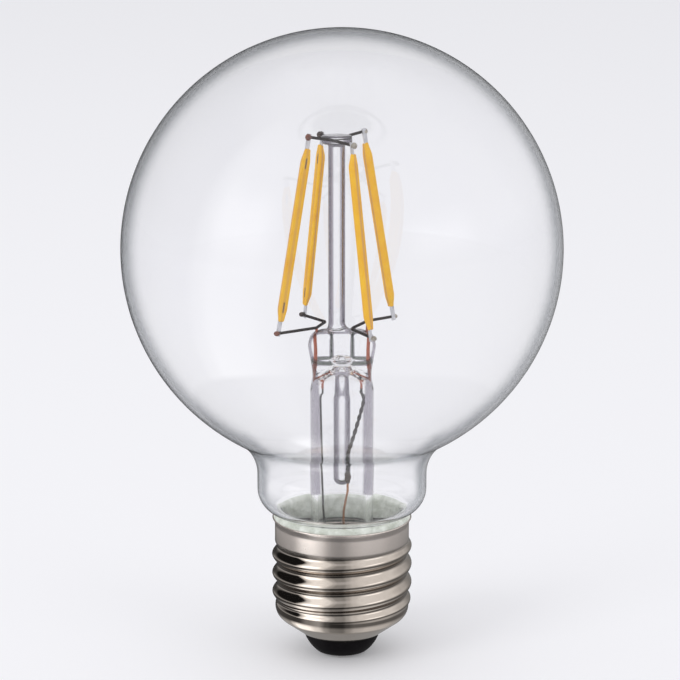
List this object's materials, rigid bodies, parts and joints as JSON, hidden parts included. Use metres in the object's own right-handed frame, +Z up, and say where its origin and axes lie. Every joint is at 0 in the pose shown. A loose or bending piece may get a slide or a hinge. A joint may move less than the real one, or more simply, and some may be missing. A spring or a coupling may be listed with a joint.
{
  "type": "globe filament bulb",
  "caption": "Clear globe lamp with slim yellow filaments on a glass stem and a plated screw cap, for lighting a room.",
  "frame": {"origin": "centre of the bottom face of the centre contact", "axes": "+Z up the lamp's axis from the cap to the globe, -Y towards the front of the picture, +X to its right"},
  "size_m": [0.08, 0.08, 0.1165],
  "materials": {
    "globe_glass": "clear blown glass",
    "stem_glass": "clear drawn and pressed glass",
    "seal_copper": "copper-clad wire",
    "dark_wire": "oxidised wire",
    "lead_wire": "dull wire",
    "splice_metal": "rough weld",
    "feed_copper": "copper wire",
    "nickel_plate": "warm nickel plate, satin collar and polished thread",
    "cement": "pale dull cement",
    "black_insulator": "glossy black",
    "contact_metal": "tinned",
    "circuit_board": "dull laminate",
    "chip_package": "moulded package",
    "capacitor_sleeve": "shrunk sleeve",
    "resistor_body": "lacquer",
    "tinned_wire": "tinned wire",
    "phosphor": "dull silicone with yellow phosphor",
    "tab_metal": "bright metal strip"
  },
  "bodies": {
    "root": {"glass_globe": "globe_glass", "stem": "stem_glass", "exhaust_tube": "stem_glass", "support_rod": "stem_glass", "support_button": "stem_glass", "seal_wire_left": "seal_copper", "seal_wire_right": "seal_copper", "arm_wire_left": "dark_wire", "arm_wire_right": "dark_wire", "top_wire_front": "dark_wire", "top_wire_rear": "dark_wire", "outer_lead_left": "lead_wire", "outer_lead_right": "lead_wire", "lead_splice": "splice_metal", "feed_wire": "feed_copper", "cap_shell": "nickel_plate", "cap_cement": "cement", "cap_insulator": "black_insulator", "centre_contact": "contact_metal", "driver_board": "circuit_board", "bridge_rectifier": "chip_package", "driver_chip": "chip_package", "smoothing_capacitor": "capacitor_sleeve", "fuse_resistor": "resistor_body", "shell_wire": "tinned_wire", "filament_front_left": "phosphor", "carrier_front_left": "tab_metal", "filament_front_right": "phosphor", "carrier_front_right": "tab_metal", "filament_rear_left": "phosphor", "carrier_rear_left": "tab_metal", "filament_rear_right": "phosphor", "carrier_rear_right": "tab_metal"}
  },
  "joints": []
}
